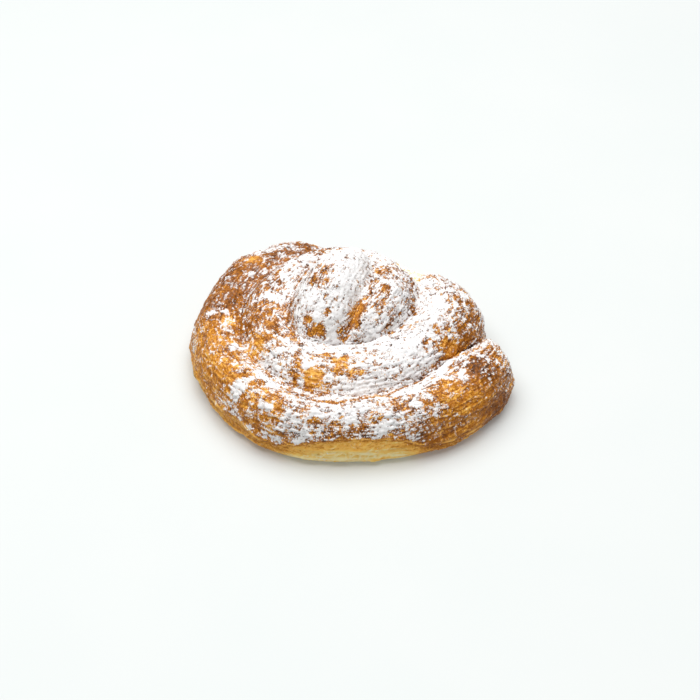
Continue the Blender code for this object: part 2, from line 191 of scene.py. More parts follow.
    (33.5, -46, 3.5, 2.6, -10), (31.5, -41, 2, 1.4, 0), (29.5, -45, 1.8, 1.4, 80),
    (26, -46.5, 2.6, 1.4, 60), (28, -36.5, 2, 2.2, 50),
    # the tail
    (29, -31.5, 3, 2.4, 90, 20), (33, -27.5, 2.6, 2.6, 95), (39.8, -28, 2, 5, 72, 18), (37, -27, 1, 2, 40),
    (47, -16, 3.2, 2.6, 75), (45.8, -25, 2.3, 6, 0, 5), (48, -33, 1.3, 0.8, 0, 30), (50.5, -27, 3, 1.6, 30),
    (42, -22.5, 2, 2, 70), (52.5, -19, 2.4, 1.6, 50), (54, -25, 3.5, 6, 5), (52, -15, 2.5, 3, 10),
    (38, -13, 15, 0.8, -10, 48),
    # the crevices: round the heart's left, beside its lobe, and all along the front
    (-22.6, 1.5, 7, 0.7, 10, 80), (-21, -10.5, 6.5, 0.7, 5, -68), (23.6, 14, 6, 0.7, 30, 88),
    (-12.3, -42, 9.5, 0.8, 12, -10), (3.7, -41, 8, 0.8, 12, 15), (18.2, -34.1, 9.5, 0.8, 5, 37),
)
BASE_COVER = 0.45
# How brown the crust is, laid over one another: (x, y, z, reach, 0 raw dough to 1 darkest).
BROWNING = (
    (-56, 0, 6, 24, 0.42), (-46, 26, 20, 14, 0.66), (-23, 42, 20, 14, 0.68), (-48, 12, 20, 12, 0.64),
    (-52, -10, 16, 11, 0.47), (-44, -30, 14, 13, 0.45), (-33, -44, 17, 12, 0.50), (0, -50, 18, 16, 0.60),
    (45, -38, 14, 16, 0.49), (56, -24, 8, 9, 0.62), (36, -52, 4, 11, 0.55), (-33, 2, 22, 10, 0.60),
    (-35, -14, 21, 7, 0.45), (-10, -28, 24, 12, 0.54), (20, -20, 24, 14, 0.66), (31, 6, 24, 12, 0.66),
    (44, -3, 16, 10, 0.62), (-5, 8, 34, 16, 0.64), (13, 6, 30, 12, 0.64),
    (24, 34, 11, 13, 0.30), (23, 35, 13, 8.5, 0.0),
    (-37.5, 35, 19, 4.5, 0.42), (-44, 31, 13, 4, 0.82), (-41, -5, 21, 3.5, 0.60),
    (-45.7, 0.5, 21, 2.6, 0.24), (-12.5, -11, 24, 5, 0.58), (2.4, -3, 28, 6, 0.56),
    (-13, -31, 24, 6.5, 0.41), (-2, -26, 24, 4, 0.44), (-35.5, -13, 21, 3, 0.40),
    (37, -13, 20, 5, 0.46), (46, -10, 13, 4, 0.86), (46, -24, 18, 6, 0.76), (52, -12, 13, 5, 0.76),
    (54, -28, 8, 9, 0.66),
)
BASE_BROWNING = 0.60
# Where the sugar has drunk up the lard and lies as an even veil: (x, y, z, reach, 0 to 1).
MELTED = (
    (-46, 22, 20, 20, 1.0), (-26, 42, 20, 14, 0.9), (-46, -4, 20, 12, 0.6), (-34, 4, 22, 12, 0.5),
    (48, -35, 11, 15, 0.7), (28, -52, 9, 9, 0.7), (-52, -26, 10, 14, 0.8), (-36, -50, 8, 12, 0.8),
)
# How far the turns have baked into one another, laid over one another: (x, y, z, reach, 0 to 1).
BAKED_IN = (
    (-40, 10, 18, 20, 0.95), (-30, 28, 20, 14, 0.90), (-34, -14, 18, 13, 0.85),
    (-22, -34, 18, 10, 0.70), (-22, 10, 22, 12, 0.70), (-5, -15, 24, 9, 0.75), (0, -38, 20, 16, 0.35),
    (40, -16, 16, 12, 0.15), (30, -26, 18, 9, 0.05), (46, -9, 14, 9, 0.05), (0, -5, 30, 9, 0.10),
    (8, 20, 28, 9, 0.45),
)
BASE_BAKED_IN = 0.5
BAKING_STEPS = 90
# The ledge round the outer wall where the top crust laps over the paler side: (turn, height).
LEDGE = (
    (-60, 6), (20, 5), (45, 5.5), (60, 6.5), (66, 9.5), (71, 11.5), (76, 12.6), (83, 13.2), (94, 13.4),
    (100, 12.6), (106, 11), (112, 9.3), (119, 6.5), (124, 6.8), (131, 9.3), (140, 9.3), (149, 8.5),
    (170, 7), (200, 6), (300, 6),
)
# How pale the side is under that ledge: (turn, 0 as browned as above to 1 raw).
PALENESS = (
    (-60, 0.2), (30, 0.05), (54, 0.1), (62, 0.4), (68, 0.9), (73, 1.0), (110, 1.0), (117, 0.8),
    (124, 0.5), (150, 0.35), (180, 0.2), (215, 0.1), (300, 0.3),
)


def to_linear(hex_colour):
    """An sRGB hex colour as the linear colour that a shader takes."""
    parts = [int(hex_colour[i:i + 2], 16) / 255 for i in (1, 3, 5)]
    linear = [p / 12.92 if p <= 0.04045 else ((p + 0.055) / 1.055) ** 2.4 for p in parts]
    return (*linear, 1.0)


def smoothstep(low, high, value):
    t = np.clip((value - low) / (high - low), 0, 1)
    return t * t * (3 - 2 * t)


# ---- noise on points ----


def noise_at(points, seed):
    """Smooth gradient noise at these points, about -1 to 1, with one cell to a unit."""
    rng = np.random.default_rng(seed)
    gradients = rng.normal(size=(NOISE_WRAP + 1, 3))
    gradients /= np.linalg.norm(gradients, axis=1)[:, None]
    shuffle = rng.permutation(NOISE_WRAP + 1)
    cell = np.floor(points).astype(np.int64)
    inside = points - cell
    eased = inside**3 * (inside * (inside * 6 - 15) + 10)
    total = np.zeros(len(points))
    for corner in itertools.product((0, 1), repeat=3):
        x, y, z = ((cell + corner) & NOISE_WRAP).T
        pick = shuffle[(shuffle[(shuffle[x] + y) & NOISE_WRAP] + z) & NOISE_WRAP]
        reach = (gradients[pick] * (inside - corner)).sum(axis=1)
        total += reach * np.where(corner, eased, 1 - eased).prod(axis=1)
    return total * NOISE_GAIN


def ridged(points, seed):
    """Noise folded at zero: 1 along thin wandering lines, falling off to either side."""
    return 1 - np.minimum(np.abs(noise_at(points, seed)) * RIDGE_SHARPNESS, 1)


def as_share(values):
    """Each value's rank, 0 to 1, so that a threshold covers just that share of the points."""
    ranks = np.empty(len(values))
    ranks[np.argsort(values)] = np.linspace(0, 1, len(values))
    return ranks


# ---- the rope's law ----


def curve_through(rows, at):
    """A smooth curve through the rows that doesn't swing past them, read at these places."""
    x, y = np.array(rows, float).T
    step = np.diff(x)
    rise = np.diff(y) / step
    near, far = 2 * step[1:] + step[:-1], step[1:] + 2 * step[:-1]
    same_way = rise[:-1] * rise[1:] > 0
    safe = np.where(same_way, rise[:-1], 1.0), np.where(same_way, rise[1:], 1.0)
    slope = np.zeros_like(y)
    slope[1:-1] = np.where(same_way, (near + far) / (near / safe[0] + far / safe[1]), 0.0)
    slope[0], slope[-1] = rise[0], rise[-1]
    at = np.clip(at, x[0], x[-1])
    i = np.clip(np.searchsorted(x, at) - 1, 0, len(step) - 1)
    t = (at - x[i]) / step[i]
    return (
        (2 * t**3 - 3 * t**2 + 1) * y[i]
        + (t**3 - 2 * t**2 + t) * step[i] * slope[i]
        + (3 * t**2 - 2 * t**3) * y[i + 1]
        + (t**3 - t**2) * step[i] * slope[i + 1]
    )


def edge_radius(turn):
    offsets = np.linspace(-EDGE_SMOOTHING, EDGE_SMOOTHING, EDGE_SAMPLES)
    weights = np.cos(offsets / EDGE_SMOOTHING * np.pi / 2) ** 2
    values = [curve_through(SPIRAL_EDGE, turn + offset) for offset in offsets]
    return np.average(values, axis=0, weights=weights)


def crest_height(turn):
    height = curve_through(CREST, turn)
    for place, depth, half_width in CREASES:
        height = height - depth * np.exp(-(((turn - place) / half_width) ** 2))
    return height


def around(turn):
    angle = np.radians(turn)
    return np.stack([np.cos(angle), -np.sin(angle)], axis=1)


def even_turns():
    """Turns that lie evenly spaced along the rope's middle, and their distances along it."""
    turn = np.linspace(FIRST_TURN, LAST_TURN, PATH_SAMPLES)
    middle = (edge_radius(turn) + edge_radius(turn + 360)) / 2
    steps = np.linalg.norm(np.diff(around(turn) * middle[:, None], axis=0), axis=1)
    travelled = np.concatenate([[0.0], np.cumsum(steps)])
    along = np.linspace(0.0, travelled[-1], int(travelled[-1] / RING_SPACING))
    return np.interp(along, travelled, turn), along


def outward(centres):
    ahead = np.gradient(centres, axis=0)
    for _ in range(3):
        ahead[1:-1] = (ahead[:-2] + ahead[1:-1] + ahead[2:]) / 3
    ahead /= np.linalg.norm(ahead, axis=1)[:, None]
    return np.stack([-ahead[:, 1], ahead[:, 0]], axis=1)


def rounding(distance, length):
    short = np.clip(1 - distance / length, 0, 1)
    return np.sqrt(1 - short**2)


def section(half_width, crest, seams, free):
    """The rope's cross section, as distances outwards and heights.

    seams are the heights of its outer and inner seam, and free is 1 where its outer side is bare.
    """
    angle = np.linspace(0, 2 * np.pi, RING_POINTS, endpoint=False)
    cosine, sine = np.cos(angle), np.sin(angle)
    bare = np.where(cosine > 0, free, 0.0)
    seam = np.where(cosine > 0, *seams)
    upright = np.where(sine >= 0, FREE_SIDE, COVERED_SIDE + (FREE_SIDE - COVERED_SIDE) * bare)
    tucked = TUCK * (1 - bare) * np.clip(-TUCK_STARTS * sine, 0, 1)
    across = (half_width + tucked) * np.sign(cosine) * np.abs(cosine) ** upright
    above = seam + (crest - seam) * np.abs(sine) ** (DOME_POWER + (1 - DOME_POWER) * bare)
    below = seam - (seam + UNDERCUT) * np.abs(sine) ** FOOT_ROUNDNESS
    return across, np.where(sine >= 0, above, below)


def rope_rings():
    """The rope's sections as an array of rings of points, with each ring's place along it."""
    turn, along = even_turns()
    outer_edge, inner_edge = edge_radius(turn), edge_radius(turn + 360)
    centres = around(turn) * ((outer_edge + inner_edge) / 2)[:, None]
    out = outward(centres)
    slant = np.clip((around(turn) * out).sum(axis=1), 0.5, 1.0)
    half_width = (outer_edge - inner_edge) / 2 * slant
    crest = crest_height(turn)
    seams = np.column_stack([curve_through(SEAM, turn), curve_through(SEAM, turn + 360)])
    free = np.clip((INNER_SIDE_STARTS - turn) / (INNER_SIDE_STARTS - OUTER_SIDE_ENDS), 0, 1)
    fullness = rounding(along, TAIL_ROUNDING) * rounding(along[-1] - along, TIP_ROUNDING)
    fullness = np.maximum(fullness, END_FULLNESS)
    halfway = (FIRST_TURN + LAST_TURN) / 2
    rings = []
    for i in range(len(turn)):
        across, height = section(half_width[i], crest[i], seams[i], free[i])
        is_tail = turn[i] < halfway
        pivot = half_width[i] * (TAIL_PIVOT if is_tail else TIP_PIVOT)
        closes_at = TAIL_MIDDLE if is_tail else TIP_MIDDLE
        across = pivot + (across - pivot) * fullness[i]
        height = closes_at + (height - closes_at) * fullness[i]
        rings.append(np.column_stack([centres[i] + out[i] * across[:, None], height]))
    return np.array(rings), along


# ---- making the crust's mesh ----


def deselect_all():
    bpy.ops.object.select_all(action="DESELECT")


def select_only(*objects):
    deselect_all()
    for thing in objects:
        thing.select_set(True)
    bpy.context.view_layer.objects.active = objects[0]


def object_from(name, vertices, faces):
    mesh = bpy.data.meshes.new(name)
    mesh.from_pydata(vertices, [], faces)
    piece = bpy.data.objects.new(name, mesh)
    bpy.context.collection.objects.link(piece)
    return piece


def swept_rope(rings):
    """The rings lofted into one closed tube."""
    count, points = rings.shape[:2]
    grid = np.arange(count * points).reshape(count, points)
    this, following = grid[:-1], grid[1:]
    quads = np.stack([this, following, np.roll(following, -1, 1), np.roll(this, -1, 1)], axis=-1)
    faces = quads.reshape(-1, 4).tolist() + [grid[0].tolist(), grid[-1][::-1].tolist()]
    return object_from("crust", rings.reshape(-1, 3) * MM, faces)


def add_heart():
    """The raised lobe in the middle: a sphere drawn out and turned."""
    deselect_all()
    bpy.ops.mesh.primitive_uv_sphere_add(segments=ROUND_SIDES, ring_count=HEART_RINGS, radius=1.0)
    heart = bpy.context.object
    for vertex in heart.data.vertices:
        if vertex.co.z > 0:
            vertex.co.z **= DOME_POWER
    heart.scale = Vector(HEART_HALF_AXES) * MM
    heart.rotation_euler.z = -np.radians(HEART_TURN)
    heart.location = Vector(HEART_CENTRE) * MM
    bpy.ops.object.transform_apply(location=True, rotation=True, scale=True)
    return heart


def add_core():
    """The dough under the coil, where the turns have baked together."""
    height = CORE_TOP + UNDERCUT / 2
    deselect_all()
    bpy.ops.mesh.primitive_cone_add(
        vertices=ROUND_SIDES, radius1=CORE_RADIUS * MM, radius2=CORE_TOP_RADIUS * MM,
        depth=height * MM, location=(0, 0, (CORE_TOP - height / 2) * MM),
    )
    bpy.ops.object.transform_apply(location=True)
    return bpy.context.object


def bake_together(rope, *others):
    """Joins the pieces and remeshes them, so that the turns share one skin."""
    select_only(rope, *others)
    bpy.ops.object.join()
    bpy.ops.object.mode_set(mode="EDIT")
    bpy.ops.mesh.select_all(action="SELECT")
    bpy.ops.mesh.normals_make_consistent(inside=False)
    bpy.ops.object.mode_set(mode="OBJECT")
    remesh = rope.modifiers.new("one skin", "REMESH")
    remesh.mode = "VOXEL"
    remesh.voxel_size = VOXEL * MM
    smooth = rope.modifiers.new("soft creases", "SMOOTH")
    smooth.iterations = SMOOTH_STEPS
    for name in ("one skin", "soft creases"):
        bpy.ops.object.modifier_apply(modifier=name)


def cut_base(crust):
    """Cuts the base level and closes it."""
    bm = bmesh.new()
    bm.from_mesh(crust.data)
    cut = bmesh.ops.bisect_plane(
        bm, geom=bm.verts[:] + bm.edges[:] + bm.faces[:], dist=1e-7,
        plane_co=(0, 0, 0), plane_no=(0, 0, -1), clear_outer=True,
    )
    rim = [edge for edge in cut["geom_cut"] if isinstance(edge, bmesh.types.BMEdge)]
    bmesh.ops.contextual_create(bm, geom=rim)
    bmesh.ops.recalc_face_normals(bm, faces=bm.faces)
    bm.to_mesh(crust.data)
    bm.free()


def places_of(mesh):
    places = np.empty(len(mesh.vertices) * 3)
    mesh.vertices.foreach_get("co", places)
    return places.reshape(-1, 3) / MM


def quads_of(mesh):
    """The mesh's faces of four corners, which are all but the base."""
    return np.array([tuple(face.vertices) for face in mesh.polygons if len(face.vertices) == 4])


def set_places(mesh, places):
    mesh.vertices.foreach_set("co", (places * MM).astype(np.float32).ravel())
    mesh.update()


def normals_of(mesh):
    normals = np.empty(len(mesh.vertices) * 3, np.float32)
    mesh.vertex_normals.foreach_get("vector", normals)
    return normals.reshape(-1, 3).astype(float)


class Skin:
    """The crust's mesh as arrays: who neighbours whom, and blurs over that."""

    def __init__(self, mesh):
        pairs = np.empty(len(mesh.edges) * 2, np.int32)
        mesh.edges.foreach_get("vertices", pairs)
        pairs = pairs.reshape(-1, 2)
        self.count = len(mesh.vertices)
        self.start = np.concatenate([pairs[:, 0], pairs[:, 1]])
        self.end = np.concatenate([pairs[:, 1], pairs[:, 0]])
        self.degree = np.maximum(np.bincount(self.start, minlength=self.count), 1)

    def blurred(self, values, steps):
        columns = values.reshape(self.count, -1).T.copy()
        for _ in range(steps):
            for column in columns:
                near = np.bincount(self.start, weights=column[self.end], minlength=self.count)
                column += (near / self.degree - column) * BLUR_PULL
        return columns.T.reshape(values.shape)


def rope_coordinates(places, rings, along, shift):
    """For each point of the skin: how far it is along the rope and round the rope's side, and its
    distance from the rope's own surface."""
    count, points = rings.shape[:2]
    sides = np.linalg.norm(np.diff(rings, axis=1, append=rings[:, :1]), axis=2)
    round_side = np.cumsum(sides, axis=1) - sides
    crest_index = points // 4
    round_side -= round_side[:, crest_index:crest_index + 1]
    tree = KDTree(count * points)
    flat = rings.reshape(-1, 3) + shift
    for i, point in enumerate(flat):
        tree.insert(point, i)
    tree.balance()
    found = np.array([tree.find(point)[1:] for point in places])
    index, distance = found[:, 0].astype(int), found[:, 1]
    ring, point = index // points, index % points
    ahead = np.gradient(rings, axis=0)
    ahead /= np.maximum(np.linalg.norm(ahead, axis=2), 1e-6)[..., None]
    aside = np.roll(rings, -1, axis=1) - np.roll(rings, 1, axis=1)
    aside /= np.maximum(np.linalg.norm(aside, axis=2), 1e-6)[..., None]
    off = places - flat[index]
    s = along[ring] + (off * ahead[ring, point]).sum(axis=1)
    v = round_side[ring, point] + (off * aside[ring, point]).sum(axis=1)
    return s, v, distance


def heart_coordinates(places, shift):
    """The heart's own grain, along it and over it from side to side, and how far in or out of its
    skin each point is: 1 on the skin."""
    turned = np.radians(HEART_TURN)
    off = places - np.array(HEART_CENTRE) - shift
    along = off[:, 0] * np.sin(turned) + off[:, 1] * np.cos(turned)
    aside = off[:, 0] * np.cos(turned) - off[:, 1] * np.sin(turned)
    a, b, c = HEART_HALF_AXES
    up = np.sign(off[:, 2]) * (np.abs(off[:, 2]) / c) ** (1 / DOME_POWER)
    gauge = np.sqrt((aside / a) ** 2 + (along / b) ** 2 + up**2)
    return along, np.arctan2(aside / a, up) * (a + c) / 2, gauge


def grain_points(s, v, other, along_cell, across_cell):
    """Noise coordinates drawn out along the rope: cells this long and this wide."""
    return np.column_stack([s / along_cell, v / across_cell, other])


def painted(base, layers):
    """Soft-edged patches laid one over another on a base: each layer is (distance, value), and
    covers what lies under it where its distance is well below 1."""
    values = base
    for distance, value in layers:
        values = values + (value - values) * np.exp(-PATCH_EDGE * distance**4)
    return values


def dusting_layers(places):
    for x, y, reach_x, reach_y, cover, *turned in DUSTING:
        angle = np.radians(sum(turned))
        dx, dy = places[:, 0] - x, places[:, 1] - y
        along_x = (dx * np.cos(angle) + dy * np.sin(angle)) / reach_x
        along_y = (dy * np.cos(angle) - dx * np.sin(angle)) / reach_y
        yield np.hypot(along_x, along_y), cover / 100


def sphere_layers(rows, places):
    for x, y, z, reach, value in rows:
        yield np.linalg.norm(places - (x, y, z), axis=1) / reach, value


def turn_round(places):
    """Each point's angle round the whole pastry, in the coil's sense, from -60 to 300 degrees."""
    return (np.degrees(np.arctan2(-places[:, 1], places[:, 0])) + 60) % 360 - 60


def above_ledge(places):
    """How far each point is above the ledge where the top crust laps over the side."""
    flat = places * (1, 1, 0)
    uneven = 0.5 * noise_at(flat / 5, 21) + 0.3 * noise_at(flat / 1.9, 22)
    return places[:, 2] - curve_through(LEDGE, turn_round(places)) - uneven


def bake_in(skin, places, normals):
    """Fills the creases between the turns, as far as the turns have baked into one another."""
    rise = hollowness(skin, places, normals, BAKING_STEPS)
    layers = sphere_layers(BAKED_IN, places)
    filled = np.clip(rise, 0, None) * painted(BASE_BAKED_IN, layers)
    filled = filled * smoothstep(6, 12, places[:, 2])
    return places + skin.blurred(normals, 6) * skin.blurred(filled, 2)[:, None]


def side_folds(places, normals, s):
    """The top crust's lip over the side, and thinner folds below it."""
    on_side = smoothstep(0.8, 0.4, normals[:, 2])
    above = above_ledge(places)
    lip = 0.75 * smoothstep(-0.5, 0.2, above) * smoothstep(6, 0.2, above)
    along = np.column_stack([s / 13, s * 0, s * 0])
    fold = np.zeros(len(places))
    for height, depth, seed in ((3.2, 0.7, 23), (7.5, 0.4, 24)):
        rise = places[:, 2] - height - 1.0 * noise_at(along, seed)
        fold += depth * smoothstep(-0.3, 0.3, rise) * smoothstep(2.6, 0.2, rise)
    return on_side * (lip + fold)


def relief(places, normals, s, v, hollow):
    """How far each point of the skin moves outwards: each noise has its height before it, and its
    cells' size or their length and width along the grain inside it."""
    raw = painted(BASE_BROWNING, sphere_layers(BROWNING, places)) < RAW_BELOW
    calm = np.where(raw, RAW_RELIEF, 1.0)
    lumps = 0.5 * noise_at(places / 9, 1) + 0.24 * noise_at(places / 4.2, 2)
    wrinkled = smoothstep(-0.5, 0.4, noise_at(places / 10, 3))
    wrinkles = 0.34 * ridged(grain_points(s, v, s * 0, 15, 2.6), 4) ** 2 * wrinkled
    fine = 0.22 * ridged(grain_points(s, v, s * 0 + 5, 8, 1.5), 5) ** 2
    crinkle = 0.22 * ridged(places / 2.6, 6) ** 2 + 0.12 * noise_at(places / 1.3, 7)
    layers = 2.4 * noise_at(grain_points(s, v, s * 0 + 9, 17, 4.6), 8)
    flakes = 0.32 * np.mod((layers + 0.5 * noise_at(places / 4, 9)) * 1.5, 1.0)
    sink = -0.6 * smoothstep(0.10, 0.42, hollow)
    grain = np.where(s > HEART_GRAIN, HEART_ROUGHNESS, 1.0)
    moved = lumps + calm * (grain * (wrinkles + fine + flakes) + crinkle) + sink
    return smoothstep(0.4, 3.0, places[:, 2]) * moved + side_folds(places, normals, s)


def tuck_foot(places, normals):
    """Rounds the foot of the side in under the pastry, so that it stands on a smaller base."""
    outwards = normals * (1, 1, 0)
    outwards /= np.maximum(np.linalg.norm(outwards, axis=1), 1e-6)[:, None]
    low = np.clip(1 - places[:, 2] / FOOT_RADIUS, 0, 1)
    inwards = FOOT_RADIUS * (1 - np.sqrt(1 - low**2)) * (1 + FOOT_UNEVENNESS * noise_at(places / 8, 10))
    return places - outwards * inwards[:, None]


def hollowness(skin, places, normals, steps):
    """How deep each point lies below the skin around it, blurred over so many steps."""
    return ((skin.blurred(places, steps) - places) * normals).sum(axis=1)


def set_attribute(mesh, name, values):
    kind = "FLOAT" if values.ndim == 1 else "FLOAT_VECTOR"
    attribute = mesh.attributes.new(name, kind, "POINT")
    key = "value" if values.ndim == 1 else "vector"
    attribute.data.foreach_set(key, values.astype(np.float32).ravel())


def make_crust():
    """The whole crust. Returns it with what the sugar needs to know about its skin."""
    rings, along = rope_rings()
    crust = swept_rope(rings)
    bake_together(crust, add_heart(), add_core())
    cut_base(crust)
    places = places_of(crust.data)
    low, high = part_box("ensaimada")
    middle = (places.min(axis=0) + places.max(axis=0)) / 2
    shift = [(low.x + high.x) / 2 / MM - middle[0], (low.y + high.y) / 2 / MM - middle[1], 0]
    places += shift
    set_places(crust.data, places)
    skin = Skin(crust.data)
    normals = normals_of(crust.data)
    s, v, distance = rope_coordinates(places, rings, along, shift)
    heart_s, heart_v, gauge = heart_coordinates(places, shift)
    heart = (gauge < 1.0 + distance / HEART_REACH) & (distance > ROPE_SKIN)
    s = np.where(heart, heart_s + HEART_GRAIN + HEART_LEAD, s)
    v = np.where(heart, heart_v, v)
    places = bake_in(skin, places, normals)
    set_places(crust.data, places)
    normals = normals_of(crust.data)
    hollow = hollowness(skin, places, normals, CREVICE_STEPS)
    places = places + skin.blurred(normals, 2) * relief(places, normals, s, v, hollow)[:, None]
    places[:, 2] = np.maximum(places[:, 2], 0)
    set_places(crust.data, tuck_foot(places, normals))
    return crust, skin, s, v, hollow


def browning_and_shade_at(places, normals, detail):
    """How browned each point of the crust is, with the paler side under the ledge, plus painted shade:
    lines under the lip and along the low fold, darker small hollows, paler ridges.
    """
    browning_and_shade = painted(BASE_BROWNING, sphere_layers(BROWNING, places))
    uneven = 0.08 * noise_at(places / 8, 31) + 0.08 * noise_at(places / 3.4, 32)
    browning_and_shade = browning_and_shade + uneven * smoothstep(0.05, 0.4, browning_and_shade)
    on_side = smoothstep(0.75, 0.45, normals[:, 2]) * smoothstep(18, 14, places[:, 2])
    above = above_ledge(places)
    under = 0.6 * smoothstep(0.8, -0.8, above) + 0.4 * smoothstep(-3.0, -7.0, above)
    pale = np.clip(curve_through(PALENESS, turn_round(places)), 0, 1) * under * on_side
    browning_and_shade = browning_and_shade + (RAW_DOUGH - browning_and_shade) * pale
    broken = smoothstep(-0.2, 0.3, noise_at(places / 4, 33))
    lip = np.exp(-(((above - 0.6) / 0.5) ** 2)) * broken
    shadowed = np.exp(-(((above + 0.5) / 0.45) ** 2))
    browning_and_shade = browning_and_shade + on_side * (0.07 * shadowed - 0.26 * lip)
    along = np.column_stack([turn_round(places) / 9, places[:, 2] / 1.1, places[:, 2] * 0])
    browning_and_shade = browning_and_shade + 0.10 * pale * noise_at(along, 34)
    # Painted shade: a dark line along the low fold on the pale side, and a little paler below it.
    low_fold = places[:, 2] - 3.0 - 0.9 * noise_at(along * (1, 0, 0), 35)
    fold_shade_line = 0.26 * np.exp(-((low_fold / 0.4) ** 2)) - 0.05 * smoothstep(0, -1, low_fold)
    browning_and_shade = browning_and_shade + pale * fold_shade_line
    # Painted shade and light: small hollows darker, ridges paler.
    return np.clip(browning_and_shade + 0.5 * np.clip(detail, -0.25, 0.25), 0, 1)


# ---- icing sugar ----


def sugar_cover(places, normals, skin, hollow):
    """What share of the skin the sugar hides at each point; below 0 it is quite bare."""
    lying = skin.blurred(normals[:, 2], 6)
    cover = painted(BASE_COVER, dusting_layers(places)) + 0.06 * noise_at(places / 5, 41)
    crevice = smoothstep(0.22, 0.5, hollow)
    cover = cover - 0.5 * crevice * smoothstep(-0.3, 0.5, noise_at(places / 2.5, 47))
    rests = smoothstep(-0.05, 0.3, lying) * smoothstep(6.5, 11, places[:, 2])
    rests = rests * smoothstep(-1.2, 0.8, above_ledge(places))
    return NO_SUGAR + (np.clip(cover, NO_SUGAR, 1) - NO_SUGAR) * rests


def sugar_over(places, s, v, cover, detail):
    """How far the sugar at each point is above the least that hides the crust: under 0 is bare.

    It lies in clumps, and stays on the high spots of the crust rather than in its wrinkles.
    """
    clumping = as_share(
        0.22 * noise_at(places / 6.5, 42) + 0.34 * noise_at(places / 3.1, 43)
        + 0.42 * noise_at(places / 1.6, 44) + 0.34 * noise_at(places / 0.95, 48)
        + 0.36 * noise_at(grain_points(s, v, s * 0, 6, 1.3), 45) + 1.6 * np.clip(detail, -0.3, 0.3)
    )
    return cover - clumping


def film_over(cover, over):
    """The same for the film, where the material's own fine grain takes over some of the clumping."""
    return (cover - 0.5) + 0.85 * (over - cover + 0.5) - 0.03


def sugar_depth(places, over):
    """The drifts' thickness at each point, below zero where there is no more than a film."""
    over = over - FILM_SHARE
    rough = 0.06 * noise_at(places / 1.2, 46)
    thick = THIN_DRIFT + DRIFT_RISE * smoothstep(0, 0.6, over) + rough
    return np.clip(np.where(over > 0, thick, over * 3), FILM_DEPTH, THICKEST_DRIFT)


def make_drifts(crust, depth, looks):
    """The sugar that lies in sheets: a closed shell over the crust's faces that it covers."""
    places, normals, quads = places_of(crust.data), normals_of(crust.data), quads_of(crust.data)
    covered = quads[(depth[quads] > 0).any(axis=1)]
    used, compact = np.unique(covered, return_inverse=True)
    compact = compact.reshape(covered.shape)
    outer = places[used] + normals[used] * depth[used, None]
    inner = places[used] - normals[used] * DRIFT_ROOT
    count = len(used)
    edges = np.concatenate([compact[:, [i, (i + 1) % 4]] for i in range(4)])
    keys = edges[:, 0].astype(np.int64) * count + edges[:, 1]
    back = edges[:, 1].astype(np.int64) * count + edges[:, 0]
    rim = edges[~np.isin(keys, back)]
    sides = np.column_stack([rim[:, 1], rim[:, 0], rim[:, 0] + count, rim[:, 1] + count])
    faces = np.concatenate([compact, compact[:, ::-1] + count, sides])
    drifts = object_from("sugar_drifts", np.concatenate([outer, inner]) * MM, faces.tolist())
    for name, values in looks.items():
        set_attribute(drifts.data, name, np.concatenate([values[used]] * 2))
    return drifts


def unit_ball():
    """The vertices and faces that each crumb starts from."""
    bm = bmesh.new()
    bmesh.ops.create_icosphere(bm, subdivisions=1, radius=1.0)
    vertices = np.array([vertex.co for vertex in bm.verts])
    faces = np.array([[vertex.index for vertex in face.verts] for face in bm.faces])
    bm.free()
    return vertices, faces


def make_crumbs(name, crust, weight, count, sizes, flatness, stands, seed):
    """Small irregular grains of sugar, more of them where weight is larger."""
    rng = np.random.default_rng(seed)
    places, normals = places_of(crust.data), normals_of(crust.data)
    triangles = quads_of(crust.data)[:, :3]
    share = weight[triangles].mean(axis=1)
    picked = triangles[rng.choice(len(triangles), size=count, p=share / share.sum())]
    mix = rng.dirichlet((1, 1, 1), size=count)[..., None]
    spots, ups = (places[picked] * mix).sum(axis=1), (normals[picked] * mix).sum(axis=1)
    ups /= np.linalg.norm(ups, axis=1)[:, None]
    size = rng.uniform(*sizes, size=count) * rng.uniform(0.75, 1.25, size=count)
    ball, ball_faces = unit_ball()
    side = np.cross(ups, rng.normal(size=(count, 3)))
    side /= np.linalg.norm(side, axis=1)[:, None]
    third = np.cross(ups, side)
    lumpy = ball[None] * rng.uniform(0.7, 1.25, size=(count, len(ball), 1))
    stretch = rng.uniform(0.75, 1.3, size=(count, 1))
    points = (
        lumpy[..., :1] * side[:, None] * stretch[..., None]
        + lumpy[..., 1:2] * third[:, None]
        + lumpy[..., 2:] * ups[:, None] * flatness
    )
    size, ups = size[:, None, None], ups[:, None]
    points = spots[:, None] + points * (size / 2) + ups * (size * stands)
    faces = ball_faces[None] + (np.arange(count) * len(ball))[:, None, None]
    return object_from(name, points.reshape(-1, 3) * MM, faces.reshape(-1, 3).tolist())


# ---- materials ----


ENDS = ("From Min", "From Max", "To Min", "To Max")    # of a Map Range


def wire(tree, node, settings, links):
    """Sets a node's properties and unlinked inputs, and links its linked inputs."""
    for key, value in settings.items():
        if isinstance(key, str) and hasattr(node, key):
            setattr(node, key, value)
        else:
            node.inputs[key].default_value = value
    for key, socket in links.items():
        tree.links.new(socket, node.inputs[key])


def add_node(tree, kind, settings=None, links=None):
    """Adds a shader node with its settings and links."""
    node = tree.nodes.new("ShaderNode" + kind)
    wire(tree, node, settings or {}, links or {})
    return node


def new_material(name):
    """A new material with its tree, its shader and the place on the piece that patterns follow."""
    material = bpy.data.materials.new(name)
    material.use_nodes = True
    tree = material.node_tree
    here = add_node(tree, "TexCoord").outputs["Object"]
    return material, tree, tree.nodes["Principled BSDF"], here


def fill_ramp(node, stops):
    """Gives a colour ramp its stops, each a position and a colour."""
    elements = node.color_ramp.elements
    while len(elements) < len(stops):
        elements.new(0.5)
    for element, (position, colour) in zip(elements, stops):
        element.position = position
        element.color = to_linear(colour)
    return node.outputs["Color"]


def per_mm(cell):
    """A noise scale whose cells are this many millimetres, for coordinates in metres."""
    return 1 / (cell * MM)


